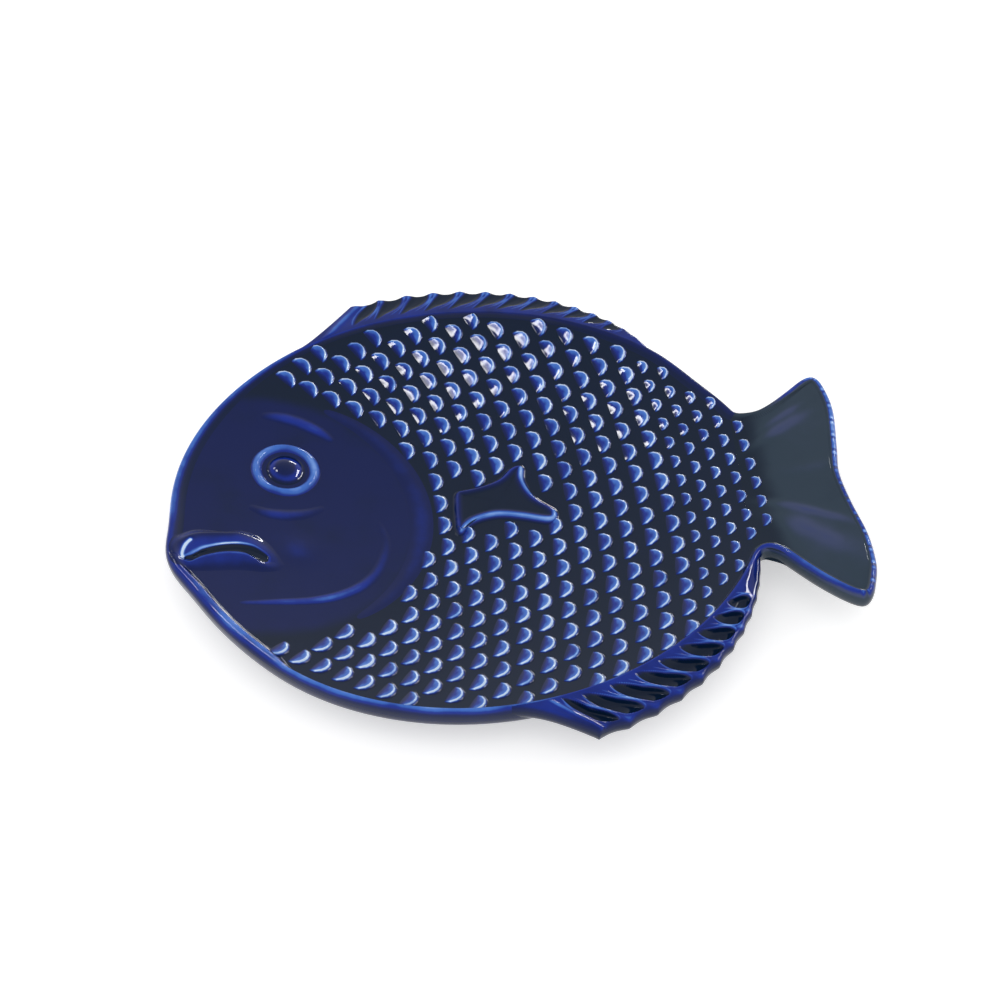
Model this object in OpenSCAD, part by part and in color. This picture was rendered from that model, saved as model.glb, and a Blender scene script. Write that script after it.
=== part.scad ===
// Fish shaped serving platter of glazed stoneware.
// It rests on its foot ring with the nose at -X, the tail at +X and the back at +Y.
// All sizes are in millimetres.

/* [Body] */
// Length of the body from the nose to the tail root
body_length = 224; // [200:1:250]
// Depth of the body from the back to the belly
body_depth = 205; // [185:1:225]
// Thickness of the clay
wall = 6; // [5:0.5:8]
// Radius of the curve that the well is dished to
bowl_radius = 440; // [380:5:600]
// Reach of the mouth past the round of the head
snout_reach = 3.5; // [2:0.5:5]
// Depth that the chin is drawn in below the mouth
chin_depth = 1.5; // [0:0.25:3]
// Depth that the back is drawn in before the tail
back_depth = 2.25; // [0:0.25:4]

/* [Rim] */
// Width of the raised edge at the nose
rim_width = 6; // [4.5:0.5:8]
// Width of the raised edge at the back and the belly
rim_side_width = 3.4; // [2.6:0.2:6]
// Height of the raised edge over the well
rim_height = 1.5; // [1:0.25:2.5]

/* [Foot] */
// Outer diameter of the foot ring
foot_diameter = 140; // [110:1:160]
// Width of the foot ring
foot_width = 6; // [4:0.5:9]
// Room under the middle of the dish
foot_room = 4.5; // [4.2:0.1:7]

/* [Tail] */
// Length of the tail past the body
tail_length = 31.5; // [24:0.5:40]
// Span of the tail from tip to tip
tail_span = 114; // [98:1:126]
// Thickness of the tail and the fins
fin_thickness = 6; // [4.5:0.5:6.5]

/* [Fins] */
// Height of the dorsal fin over the body's edge
dorsal_height = 12.5; // [9:0.5:15]
// Number of ribs in the dorsal fin
dorsal_count = 14; // [11:1:16]
// Height of the anal fin over the body's edge
anal_height = 17; // [13:0.5:21]
// Number of ribs in the anal fin
anal_count = 12; // [9:1:14]
// Depth of the fins' flat below the top of the rim
fin_drop = 1.2; // [0.5:0.1:1.4]
// Width of a rib at its foot
rib_width = 2.4; // [1.6:0.2:3]
// Height of a rib over the fin
rib_height = 0.9; // [0.5:0.1:1.5]
// Length of the pectoral fin
pectoral_length = 38; // [32:1:44]
// Height of the pectoral fin over the well
pectoral_height = 2; // [1:0.25:3]

/* [Head] */
// Radius of the smooth round of the head
head_radius = 61.5; // [56:0.5:66]
// Outer diameter of the bead round the eye
eye_diameter = 25.6; // [22:0.2:30]
// Width of the bead round the eye
eye_bead = 3.6; // [2.4:0.2:4.4]
// Height of the bead round the eye over the well
eye_bead_height = 1.6; // [1:0.2:2.4]
// Diameter of the pupil
pupil_diameter = 12.4; // [9:0.2:14]
// Height of the pupil over the well
pupil_height = 2; // [1:0.25:3]
// Width of a lip
lip_width = 5; // [4:0.25:5.5]
// Height of the lips over the well
lip_height = 3; // [2.75:0.25:4]
// Width of the ridges on the head
ridge_width = 2.6; // [1.6:0.2:3.6]
// Height of the ridges on the head
ridge_height = 0.8; // [0.4:0.1:1.4]

/* [Scales] */
// Height of a scale across its free edge
scale_size = 9; // [7:0.2:9.4]
// Distance from one column of scales to the next
column_gap = 8.8; // [8.2:0.1:10]
// Distance from one scale to the next in its column
row_gap = 11.1; // [10.8:0.1:13.5]
// Height of a small scale before the tail
tail_scale_size = 6.4; // [5:0.2:6.8]
// Distance from one column of small scales to the next
tail_column_gap = 6.6; // [6.4:0.1:7.6]
// Distance from one small scale to the next in its column
tail_row_gap = 9.9; // [9.4:0.1:11]
// Slope of a scale's face in degrees
scale_slope = 17; // [12:1:22]

/* [Hidden] */
$fn = 120;

// The body is two half ellipses that meet at its deepest line
nose_share = 0.49;
nose_length = body_length * nose_share;
rear_length = body_length - nose_length;
half_depth = body_depth / 2;
body_steps = 120;
snout_angle = 191;
snout_spread_angle = 7;
chin_angle = 217;
chin_spread_angle = 15;
back_angle = 30;
back_spread_angle = 11;
rim_inset = [rim_width, rim_side_width];
no_inset = [0, 0];

// Fins: angles round the body of their front foot, first tip and last tip
dorsal_angles = [116.5, 107, 45];
anal_angles = [279, 285.5, 336];
dorsal_fall_power = 4;
anal_fall_power = 2;
dorsal_lean_angle = 6.5;
anal_lean_angle = -8.5;
crowd_share = 0.29;
scallop_share = 0.14;
rib_reach_share = 0.9;
rib_tip_share = 0.6;
rib_least_share = 0.3;

// Tail outline, along the tail from the body's end and across it from the tail's middle
tail_middle_share = -0.115;
tail_shares = [
    [-0.33, 0.765], [0.025, 0.72], [0.25, 0.77], [0.5, 0.87], [0.725, 0.97], [0.875, 1], [0.955, 0.92],
    [1, 0.68], [0.915, 0.325], [0.855, 0.095], [0.9, -0.185], [0.985, -0.47], [0.98, -0.715],
    [0.915, -0.865], [0.81, -1], [0.63, -0.97], [0.345, -0.83], [0.12, -0.685], [-0.07, -0.55],
    [-0.23, -0.495], [-0.385, -0.54]
];
tail_root_shares = [[0.8, -0.4], [0.8, 0.28]];

// Places on the head, along the nose length and across the half depth
head_middle_share = [-0.709, 0.026];
eye_share = [-0.605, 0.266];
upper_lip_shares = [
    [-0.985, -0.18], [-0.968, -0.116], [-0.882, -0.087], [-0.79, -0.077], [-0.718, -0.097], [-0.677, -0.156]
];
lower_lip_shares = [[-0.955, -0.25], [-0.882, -0.2], [-0.8, -0.18], [-0.727, -0.19], [-0.655, -0.225]];
brow_shares = [[-0.618, 0.516], [-0.545, 0.491], [-0.473, 0.446]];
cheek_shares = [[-0.682, 0.056], [-0.61, 0.05], [-0.536, 0.056]];
jaw_shares = [
    [-0.78, -0.405], [-0.665, -0.395], [-0.545, -0.385], [-0.455, -0.36], [-0.38, -0.315], [-0.325, -0.25],
    [-0.29, -0.16], [-0.28, -0.08], [-0.3, 0.015]
];
gill_angles = [-54, 60];
gill_steps = 24;

// Pectoral fin outline in shares of its length, about the middle of the fin
pectoral_share = [0.127, 0.09];
pectoral_shares = [
    [-0.45, 0.1], [-0.2, 0.15], [0.03, 0.26], [0.2, 0.42], [0.27, 0.39], [0.265, 0.2], [0.36, -0.09],
    [0.52, -0.29], [0.46, -0.41], [0.2, -0.32], [-0.06, -0.26], [-0.3, -0.32], [-0.45, -0.42]
];
pectoral_corner_shares = [[-0.45, -0.42], [0.5, -0.41], [0.29, 0.42], [-0.45, 0.15]];

// Scales stand in columns that bow towards the tail, close up towards the head and fan out from it.
// The columns stand highest on the body at the slide column
scale_overhang_share = 0.03;
scale_room = 0.3;
small_scale_start_share = 0.718;
column_bow_share = 0.09;
bow_middle_share = -0.2;
column_crowd_share = 0.004;
slide_column = 8;
slide_share = 0.0055;
fan_share = 0.55;
first_row_share = 0.3;
first_tail_row_share = -0.14;

// Heights above the table
bowl_middle = foot_room + wall + bowl_radius;
well_bottom = foot_room + wall;
tail_level = well_bottom + sag(rear_length);
fin_level = well_bottom + sag(half_depth) + rim_height - fin_drop;
overrun = 1;
seat_gap = 0.05;
curve_steps = 6;
ball_steps = 256;

// The box round the outline is centred on the origin
outline_x = [for (p = concat(body_line(no_inset), tail_line())) p[0]];
outline_y = [for (p = concat(
    fin_line(dorsal_angles, dorsal_height, dorsal_fall_power, dorsal_count),
    fin_line(anal_angles, anal_height, anal_fall_power, anal_count)
)) p[1]];
middle = [(min(outline_x) + max(outline_x)) / 2, (min(outline_y) + max(outline_y)) / 2];

// Rise of the bowl's curve, or of another radius about its middle, at a distance from the middle
function sag(distance, radius = bowl_radius) = radius - sqrt(radius * radius - distance * distance);

// A place from shares of the nose length and the half depth
function place(share) = [share[0] * nose_length, share[1] * half_depth];
function places(shares) = [for (s = shares) place(s)];

// The body's edge at an angle, and the whole of it, moved in by an inset
function reach(angle) = cos(angle) < 0 ? nose_length : rear_length;
function hump(angle, top, spread) = exp(-pow((angle - top) / spread, 2));
function swell(angle) = snout_reach * hump(angle, snout_angle, snout_spread_angle)
    - chin_depth * hump(angle, chin_angle, chin_spread_angle)
    - back_depth * hump(angle, back_angle, back_spread_angle);
function body_point(angle, inset) = [
    (reach(angle) - inset[0] + swell(angle)) * cos(angle),
    (half_depth - inset[1] + swell(angle)) * sin(angle)
];
function body_line(inset) = [for (i = [0 : body_steps - 1]) body_point(360 * i / body_steps, inset)];

// A point at a height over the body's edge
function unit(v) = v / norm(v);
function over_edge(angle, height) =
    body_point(angle, no_inset) + height * unit([half_depth * cos(angle), reach(angle) * sin(angle)]);

// Fin outline: the rib tips crowd together towards the tail and the fin gets lower
function rib_share(i, count) = (i / count) * (1 + crowd_share * (1 - i / count));
function rib_angle(angles, share) = angles[1] + (angles[2] - angles[1]) * share;
function fin_height(height, fall, share) = height * (1 - pow(share, fall));
function fin_tip(angles, height, fall, share) =
    over_edge(rib_angle(angles, share), fin_height(height, fall, share));
function fin_dip(angles, height, fall, share) =
    over_edge(rib_angle(angles, share), fin_height(height, fall, share) * (1 - scallop_share));
function fin_line(angles, height, fall, count) = concat(
    [over_edge(angles[0], 0)],
    [for (i = [0 : count - 1]) each [
        fin_tip(angles, height, fall, rib_share(i, count)),
        fin_dip(angles, height, fall, rib_share(i + 1 / 2, count))
    ]],
    [over_edge(angles[2], 0)]
);

// A smooth curve through points, the ends held
function blend(a, b, c, d, t) =
    ((2 * b) + (c - a) * t + (2 * a - 5 * b + 4 * c - d) * t * t + (3 * b - a - 3 * c + d) * t * t * t) / 2;
function curve(points) = let (last = len(points) - 1) concat(
    [for (i = [0 : last - 1], s = [0 : curve_steps - 1])
        blend(points[max(i - 1, 0)], points[i], points[i + 1], points[min(i + 2, last)], s / curve_steps)],
    [points[last]]
);
function tail_point(share) = [
    rear_length + share[0] * tail_length,
    tail_middle_share * half_depth + share[1] * tail_span / 2
];
function tail_line() = curve([for (s = tail_shares) tail_point(s)]);

// The outline of a band of one width along a line, with square ends
function heading(line, i) = unit(line[min(i + 1, len(line) - 1)] - line[max(i - 1, 0)]);
function beside(line, i, width) = line[i] + width / 2 * [-heading(line, i)[1], heading(line, i)[0]];
function band(line, width) = concat(
    [for (i = [0 : len(line) - 1]) beside(line, i, width)],
    [for (i = [len(line) - 1 : -1 : 0]) beside(line, i, -width)]
);
function head_arc(angle) = place(head_middle_share) + head_radius * [cos(angle), sin(angle)];
function gill_angle(share) = gill_angles[0] + (gill_angles[1] - gill_angles[0]) * share;
function gill_line() = [for (i = [0 : gill_steps]) head_arc(gill_angle(i / gill_steps))];

// Pectoral fin
function pectoral_place(share) = place(pectoral_share) + share * pectoral_length;
function clear_of_edge(p, a, b, room) = cross(unit(b - a), p - a) < -room;
function clear_of_pectoral(p, room) =
    let (c = [for (s = pectoral_corner_shares) pectoral_place(s)])
    len([for (i = [0 : 3]) if (clear_of_edge(p, c[i], c[(i + 1) % 4], room)) i]) > 0;

// Whether a scale at a place is on the well and clear of the rim, the head and the pectoral fin
function in_body(p, inset) =
    pow(p[0] / ((p[0] < 0 ? nose_length : rear_length) - inset[0]), 2)
    + pow(p[1] / (half_depth - inset[1]), 2) < 1;
function at_tail(p, size) = p[0] > 0 && p[1] < tail_point(tail_shares[0])[1] - size
    && p[1] > tail_point(tail_shares[len(tail_shares) - 1])[1] + size;
function scale_fits(p, size) =
    in_body(p, (at_tail(p, size) ? no_inset : rim_inset) + [1, 1] * (size / 2 + scale_room))
    && norm(p - place(head_middle_share)) > head_radius + ridge_width / 2 + size / 2 + scale_room
    && clear_of_pectoral(p, size / 2 + scale_room);

// Places of the scales: odd columns are moved by half a row
function bowed(x, y) = [x - column_bow_share * pow(y - bow_middle_share * half_depth, 2) / half_depth, y];
function column(x, first, odd, row) = [
    for (j = [-ceil(half_depth / row) : ceil(half_depth / row)])
        bowed(x, (j + first + (odd ? 0 : 1 / 2)) * row)
];
function column_start(i) = small_start - tail_column_gap / 2 - column_gap / 2
    - i * column_gap * (1 - column_crowd_share * i);
function column_first(i) = first_row_share - slide_share * pow(i - slide_column, 2);
small_start = small_scale_start_share * rear_length;
function scale_places() = [
    for (i = [0 : floor((small_start + nose_length - tail_column_gap) / column_gap)],
        p = column(column_start(i), column_first(i), i % 2 == 1, row_gap))
        if (scale_fits(p, scale_size)) p
];
function tail_scale_places() = [
    for (i = [0 : floor((rear_length - small_start) / tail_column_gap)],
        p = column(small_start + i * tail_column_gap, first_tail_row_share, i % 2 == 1, tail_row_gap))
        if (scale_fits(p, tail_scale_size)) p
];

// Space inside a ball about the middle of the bowl's curve, its poles clear of the dish
module ball(radius) {
    translate([0, 0, bowl_middle]) rotate([90, 0, 0]) sphere(radius, $fn = ball_steps);
}

// The clay between two depths from the well's surface, over a flat shape
module layer(top, bottom) {
    intersection() {
        difference() {
            ball(bowl_radius + bottom);
            ball(bowl_radius - top);
        }
        linear_extrude(2 * bowl_middle - bowl_radius) children();
    }
}

// A level plate over a flat shape
module plate(level, thickness) {
    translate([0, 0, level - thickness]) linear_extrude(thickness) children();
}

module centred() {
    translate([-middle[0], -middle[1], 0]) children();
}

module body_shape(inset) {
    polygon(body_line(inset));
}

module tail_shape() {
    polygon(concat(tail_line(), [for (s = tail_root_shares) [s[0] * rear_length, s[1] * half_depth]]));
}

// The well runs through to the tail, so the rim is open there
module well_shape() {
    body_shape(rim_inset);
    intersection() {
        body_shape(no_inset);
        tail_shape();
    }
}

module rim_shape() {
    difference() {
        body_shape(no_inset);
        body_shape(rim_inset);
        tail_shape();
    }
}

module fin_shape(angles, height, fall, count) {
    difference() {
        polygon(concat(
            fin_line(angles, height, fall, count),
            [body_point(angles[2], rim_inset), body_point((angles[2] + angles[0]) / 2, rim_inset)],
            [body_point(angles[0], rim_inset)]
        ));
        body_shape(no_inset);
    }
}

// One rib from the body's edge to its tip, narrowing as it goes
module rib_shape(angles, height, fall, lean, share) {
    foot = over_edge(rib_angle(angles, share) + fin_height(lean, fall, share), -rim_side_width / 2);
    tip = over_edge(rib_angle(angles, share), fin_height(height, fall, share) * rib_reach_share);
    side = rib_width / 2 * [-unit(tip - foot)[1], unit(tip - foot)[0]];
    difference() {
        polygon([foot + side, foot - side, tip - side * rib_tip_share, tip + side * rib_tip_share]);
        body_shape(no_inset);
    }
}

module ribs(angles, height, fall, lean, count) {
    for (i = [0 : count - 1]) {
        share = rib_share(i, count);
        if (fin_height(height, fall, share) > rib_least_share * height)
            plate(fin_level + rib_height, rib_height) rib_shape(angles, height, fall, lean, share);
    }
}

// Carries a child from the bottom of the bowl to the well's surface over a place
module on_well(p) {
    turn = atan2(p[1], p[0]);
    tilt = asin(norm(p) / bowl_radius);
    translate([0, 0, bowl_middle])
        rotate([0, 0, turn]) rotate([0, -tilt, 0]) rotate([0, 0, -turn])
        translate([0, 0, -bowl_radius]) children();
}

// One scale: a half-moon that is flush along its straight side and lifts towards the tail,
// its flat seat resting on the well all round its edge
module scale_at(p, size) {
    from_head = p - place(head_middle_share);
    on_well(p) rotate([0, 0, fan_share * atan2(from_head[1], from_head[0])])
        translate([0, 0, sag(size / 2) + seat_gap]) intersection() {
            cylinder(d = size, h = size);
            translate([-scale_overhang_share * size, 0, 0]) rotate([0, -scale_slope, 0])
                translate([0, -size, -2 * size]) cube(2 * size);
        }
}

module lip(shares) {
    centred() color("mediumblue") {
        layer(lip_height, -seat_gap) intersection() {
            polygon(band(curve(places(shares)), lip_width));
            well_shape();
        }
        layer(lip_height, -rim_height - seat_gap) intersection() {
            polygon(band(curve(places(shares)), lip_width));
            rim_shape();
        }
    }
}

module ridge(line) {
    centred() color("darkblue") layer(ridge_height, -seat_gap) polygon(band(line, ridge_width));
}

// The dished floor of the body
module well() {
    centred() color("midnightblue") layer(0, wall) well_shape();
}

// The raised edge round the body, open at the tail root
module rim() {
    centred() color("mediumblue") layer(rim_height, wall) rim_shape();
}

// The unglazed ring underneath
module foot_ring() {
    top = foot_room + sag(foot_diameter / 2, bowl_radius + wall) + overrun;
    centred() color("tan") difference() {
        cylinder(d = foot_diameter, h = top);
        translate([0, 0, -overrun]) cylinder(d = foot_diameter - 2 * foot_width, h = top + 2 * overrun);
        ball(bowl_radius + wall);
    }
}

// The forked tail, level from the end of the well
module tail_fin() {
    centred() color("midnightblue") plate(tail_level, fin_thickness) difference() {
        tail_shape();
        body_shape(no_inset);
    }
}

// The scalloped fin along the back
module dorsal_fin() {
    centred() color("midnightblue") plate(fin_level, fin_thickness)
        fin_shape(dorsal_angles, dorsal_height, dorsal_fall_power, dorsal_count);
}

// Its slanting ribs
module dorsal_rays() {
    centred() color("mediumblue")
        ribs(dorsal_angles, dorsal_height, dorsal_fall_power, dorsal_lean_angle, dorsal_count);
}

// The pointed fin under the tail end of the belly
module anal_fin() {
    centred() color("midnightblue") plate(fin_level, fin_thickness)
        fin_shape(anal_angles, anal_height, anal_fall_power, anal_count);
}

// Its slanting ribs
module anal_rays() {
    centred() color("mediumblue")
        ribs(anal_angles, anal_height, anal_fall_power, anal_lean_angle, anal_count);
}

// The raised side fin
module pectoral_fin() {
    centred() color("darkblue") layer(pectoral_height, -seat_gap)
        polygon(curve([for (s = concat(pectoral_shares, [pectoral_shares[0]])) pectoral_place(s)]));
}

// The bead round the eye
module eye_ring() {
    centred() color("royalblue") layer(eye_bead_height, -seat_gap) translate(place(eye_share)) difference() {
        circle(d = eye_diameter);
        circle(d = eye_diameter - 2 * eye_bead);
    }
}

// The domed middle of the eye
module pupil() {
    dome_radius = (pow(pupil_diameter / 2, 2) + pow(pupil_height, 2)) / (2 * pupil_height);
    centred() color("navy") on_well(place(eye_share)) translate([0, 0, sag(pupil_diameter / 2) + seat_gap])
        intersection() {
            translate([0, 0, pupil_height - dome_radius]) sphere(dome_radius);
            cylinder(d = pupil_diameter + overrun, h = pupil_height + overrun);
        }
}

module upper_lip() {
    lip(upper_lip_shares);
}

module lower_lip() {
    lip(lower_lip_shares);
}

// The ridge over the eye
module brow_ridge() {
    ridge(curve(places(brow_shares)));
}

// The ridge under the eye
module cheek_ridge() {
    ridge(curve(places(cheek_shares)));
}

// The line of the cheek and jaw
module jaw_ridge() {
    ridge(curve(places(jaw_shares)));
}

// The arc that bounds the head
module gill_ridge() {
    ridge(gill_line());
}

// The half-moon scales of the body
module scales() {
    centred() color("royalblue") for (p = scale_places()) scale_at(p, scale_size);
}

// The smaller scales before the tail
module tail_scales() {
    centred() color("royalblue") for (p = tail_scale_places()) scale_at(p, tail_scale_size);
}

well();
rim();
foot_ring();
tail_fin();
dorsal_fin();
dorsal_rays();
anal_fin();
anal_rays();
pectoral_fin();
eye_ring();
pupil();
upper_lip();
lower_lip();
brow_ridge();
cheek_ridge();
jaw_ridge();
gill_ridge();
scales();
tail_scales();
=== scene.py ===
import math

import bmesh
import bpy
import numpy as np
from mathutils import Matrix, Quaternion, Vector


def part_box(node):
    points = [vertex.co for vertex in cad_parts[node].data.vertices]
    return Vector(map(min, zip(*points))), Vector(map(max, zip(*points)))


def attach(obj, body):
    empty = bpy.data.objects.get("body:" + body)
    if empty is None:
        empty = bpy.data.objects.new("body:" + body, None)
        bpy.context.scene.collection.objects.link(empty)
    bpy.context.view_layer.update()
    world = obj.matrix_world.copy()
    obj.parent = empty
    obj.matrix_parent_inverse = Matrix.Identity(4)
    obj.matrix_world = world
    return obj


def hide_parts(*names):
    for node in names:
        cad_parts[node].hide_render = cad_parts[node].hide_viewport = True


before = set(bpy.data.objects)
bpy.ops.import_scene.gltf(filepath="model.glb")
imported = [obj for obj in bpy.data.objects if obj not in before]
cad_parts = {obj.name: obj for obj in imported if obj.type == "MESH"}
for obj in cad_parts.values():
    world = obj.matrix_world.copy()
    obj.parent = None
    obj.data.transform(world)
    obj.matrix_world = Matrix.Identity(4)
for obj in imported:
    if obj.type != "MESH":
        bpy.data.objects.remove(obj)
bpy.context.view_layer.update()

# Foot ring.
# A turned ring of buff stoneware luted under the dish. Its sides are glazed with the rest, and its
# standing edge is wiped bare so that it doesn't stick to the kiln shelf.
MM = 0.001
ring_low, ring_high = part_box("foot_ring")
bowl_axis = (ring_low + ring_high) / 2
ring_outside = (ring_high.x - ring_low.x) / 2 / MM
ring_wall = 6.0
ring_round = 1.1
ring_lean = 1.2
ring_top = ring_high.z / MM
bare_height = 2.2


def add_piece(name, rings, values, tips=None, tip_values=None,
              nodes=None, finish=None, slot="glaze", joined=False, crease=60):
    """Makes one piece from bodies of closed rings, an array (bodies, rings, points, xyz) in millimetres
    about the bowl's axis. Each ring is joined to the next by four-sided faces. The first ring has a flat
    end, and the last one a flat end too, or a fan to its tip, or the first ring again if joined.
    values holds one number per point, the glaze's thinness there, in a few places with a painted highlight or
    a painted sheen folded in. The piece replaces the node of its own name, unless others are given."""
    bodies, count, size = rings.shape[:3]
    number = np.arange(bodies * count * size).reshape(bodies, count, size)
    beside = np.roll(number, -1, axis=2)
    above, above_beside = np.roll(number, -1, axis=1), np.roll(beside, -1, axis=1)
    sides = np.stack([number, beside, above_beside, above], -1)
    if joined:
        faces = sides.reshape(-1, 4).tolist()
    else:
        faces = sides[:, :-1].reshape(-1, 4).tolist() + number[:, 0, ::-1].tolist()
    points = rings.reshape(-1, 3)
    values = np.broadcast_to(values, rings.shape[:3]).reshape(-1)
    if tips is not None:
        tip_number = len(points) + np.arange(bodies)[:, None] + np.zeros(size, int)
        faces += np.stack([number[:, -1], beside[:, -1], tip_number], -1).reshape(-1, 3).tolist()
        points = np.concatenate([points, tips])
        values = np.concatenate([values, np.broadcast_to(tip_values, bodies)])
    elif not joined:
        faces += number[:, -1].tolist()
    mesh = bpy.data.meshes.new(name)
    mesh.from_pydata((points * MM + [bowl_axis.x, bowl_axis.y, 0]).tolist(), [], faces)
    shell = bmesh.new()
    shell.from_mesh(mesh)
    bmesh.ops.recalc_face_normals(shell, faces=shell.faces)
    shell.to_mesh(mesh)
    shell.free()
    mesh.shade_smooth()
    mesh.set_sharp_from_angle(angle=math.radians(crease))
    mesh.attributes.new("glaze_thin_and_sheen", "FLOAT", "POINT").data.foreach_set("value", values.astype(np.float32))
    mesh.materials.append(finish or glaze)
    piece = bpy.data.objects.new(name, mesh)
    bpy.context.scene.collection.objects.link(piece)
    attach(piece, "root")
    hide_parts(*(nodes or [name]))


def node_adder(tree):
    """Two functions for a tree. One adds a node, sets its sockets and wires it, and the other wires sources
    to a node's sockets, where a node as a source stands for its first output."""
    def wire(node, links):
        for source, socket in links:
            tree.links.new(getattr(source, "outputs", [source])[0], node.inputs[socket])

    def add(kind, links=(), mode=None, **sockets):
        node = tree.nodes.new("ShaderNode" + kind)
        if mode:
            node.operation = mode
        for socket, value in sockets.items():
            node.inputs[socket.replace("_", " ")].default_value = value
        wire(node, links)
        return node

    return add, wire


def new_finish(name):
    """A material with its shader, its Object coordinates, its piece's value for the glaze's thinness with its
    painted highlights, and ways to add and to wire nodes."""
    finish = bpy.data.materials.new(name)
    finish.use_nodes = True
    add, wire = node_adder(finish.node_tree)
    thin = add("Attribute")
    thin.attribute_name = "glaze_thin_and_sheen"
    shader = finish.node_tree.nodes["Principled BSDF"]
    return finish, shader, add("TexCoord").outputs["Object"], thin.outputs["Fac"], add, wire


def colour_steps(node, steps):
    """Sets a colour ramp's stops from pairs of place and linear colour."""
    ramp = node.color_ramp
    ramp.interpolation = "EASE"
    while len(ramp.elements) < len(steps):
        ramp.elements.new(0.5)
    for element, (place, colour) in zip(ramp.elements, steps):
        element.position = place
        element.color = (*colour, 1)


POOLED = (0.0016, 0.0095, 0.0260)
NAVY = (0.0030, 0.0100, 0.0750)
COBALT = (0.0070, 0.0250, 0.2500)
MID_BLUE = (0.0480, 0.1500, 0.5400)
SKY_BLUE = (0.2000, 0.3600, 0.7600)
PALE_BLUE = (0.6000, 0.7300, 0.9200)
THIN_STEPS = [(0.38, COBALT), (0.6, MID_BLUE), (0.8, SKY_BLUE), (1, PALE_BLUE)]
GLAZE_STEPS = [(0, POOLED), (0.16, NAVY), *THIN_STEPS]


def cobalt_glaze(name, steps):
    """Glossy cobalt glaze. The piece's value for the glaze's thinness, a little mottled, picks the colour
    from nearly black where the glaze pools to pale blue where it runs thin over the white clay; in a few
    places the value also carries a painted highlight or a painted sheen."""
    finish, shader, where, thin, add, wire = new_finish(name)
    mottle = add("TexNoise", [(where, "Vector")], Scale=60.0, Detail=4.0)
    shift = add("MapRange", [(mottle, "Value")], From_Min=0.3, From_Max=0.7, To_Min=0.75, To_Max=1.25)
    spread = add("Math", [(thin, 0), (shift, 1)], "MULTIPLY")
    ramp = add("ValToRGB", [(spread, "Fac")])
    colour_steps(ramp, steps)
    speck = add("TexNoise", [(where, "Vector")], Scale=900.0, Detail=2.0)
    gloss = add("MapRange", [(speck, "Value")], From_Min=0.3, From_Max=0.7, To_Min=0.025, To_Max=0.05)
    wave = add("TexNoise", [(where, "Vector")], Scale=70.0, Detail=1.0)
    skin = add("Bump", [(wave, "Height")], Strength=0.1, Distance=0.0004)
    wire(shader, [(ramp, "Base Color"), (gloss, "Roughness"), (skin, "Normal")])
    shader.inputs["IOR"].default_value = 1.3
    return finish


CLAY_STEPS = [(0.3, (0.30, 0.23, 0.16)), (0.42, (0.56, 0.46, 0.34)), (0.7, (0.66, 0.56, 0.43))]


def wiped_clay():
    """Buff stoneware with fine dark grog. Above the wiped line, where glaze_thin_and_sheen is zero, the cobalt glaze
    starts."""
    finish, shader, where, bare, add, wire = new_finish("wiped_clay")
    grain = add("TexNoise", [(where, "Vector")], Scale=1500.0, Detail=4.0)
    body = add("ValToRGB", [(grain, "Fac")])
    colour_steps(body, CLAY_STEPS)
    colour = add("Mix", [(bare, "Factor")])
    colour.data_type = "RGBA"
    colour.inputs["A"].default_value = (*NAVY, 1)
    wire(colour, [(body, "B")])
    gloss = add("MapRange", [(bare, "Value")], To_Min=0.08, To_Max=0.85)
    tooth = add("Bump", [(grain, "Height"), (bare, "Strength")], Distance=0.0002)
    wire(shader, [(colour.outputs["Result"], "Base Color"), (gloss, "Roughness"), (tooth, "Normal")])
    return finish


def compass(degrees):
    """Directions in plan at angles in degrees, from +X towards +Y."""
    turn = np.radians(degrees)
    return np.stack([np.cos(turn), np.sin(turn)], -1)


def foot_rings(around=160, corner=6):
    """The ring's section, with rounded standing corners and sides that lean together, turned about the
    bowl's axis."""
    quarter = np.radians(np.linspace(0, 90, corner))
    draw, rise = ring_round * (1 - np.sin(quarter)), ring_round * (1 - np.cos(quarter))
    inside = ring_outside - ring_wall
    outer = np.stack([ring_outside - ring_lean - draw, rise], 1)
    inner = np.stack([inside + ring_lean / 2 + draw, rise], 1)
    line = [[ring_outside - ring_lean, bare_height], [ring_outside - ring_lean, bare_height + ring_round / 4],
            [ring_outside, ring_top], [inside, ring_top], [inside, bare_height + ring_round / 4],
            [inside + ring_lean / 2, bare_height]]
    section = np.concatenate([outer, line, inner[::-1]])
    flat = section[:, :1] * compass(np.linspace(0, 360, around, endpoint=False))[:, None]
    height = np.broadcast_to(section[:, 1:], (around, len(section), 1))
    return np.concatenate([flat, height], -1)[None], (height[None, ..., 0] <= bare_height).astype(float)


glaze = cobalt_glaze("cobalt_glaze", GLAZE_STEPS)
add_piece("foot_ring", *foot_rings(), finish=wiped_clay(), slot="bare_clay", joined=True)

# Well.
# The dished floor of the body, pressed in one piece with the rest over a mould of the fish. The
# glaze pools nearly black on it, and is a little thinner on the smooth round of the head.
well_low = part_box("well")[0]
rim_low, rim_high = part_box("rim")
clay_wall = 6.0
bowl_radius = 440.0
well_bottom = well_low.z / MM + clay_wall
half_depth = (rim_high.y - rim_low.y) / 2 / MM
body_length = 224.0
nose_length = 0.49 * body_length
rear_length = body_length - nose_length
tail_length = 31.5
tail_span = 114.0
tail_middle = -0.115 * half_depth
tail_ease = 8.0
notch_round = 2.0
notch_angles = (17.3, 336.4)
edge_swell = 0.8
rim_nose_width = 5.8
rim_side_width = 3.4
# The wide stretch of the rim: the angle where it starts and the span over which it does, and where it stops
HEAD_RIM = (112, 40, 225, 5)
root_share = 0.8
root_angle = 75
root_span = 30
head_middle = np.array([-0.709 * nose_length, 0.026 * half_depth])
head_radius = 61.5
head_inset = 6.0
head_fade = 8.0
cheek_middle = np.array([-63.0, -13.0])
cheek_spread = 6.5
cheek_height = 0.4
cheek_pale = 0.1
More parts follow.
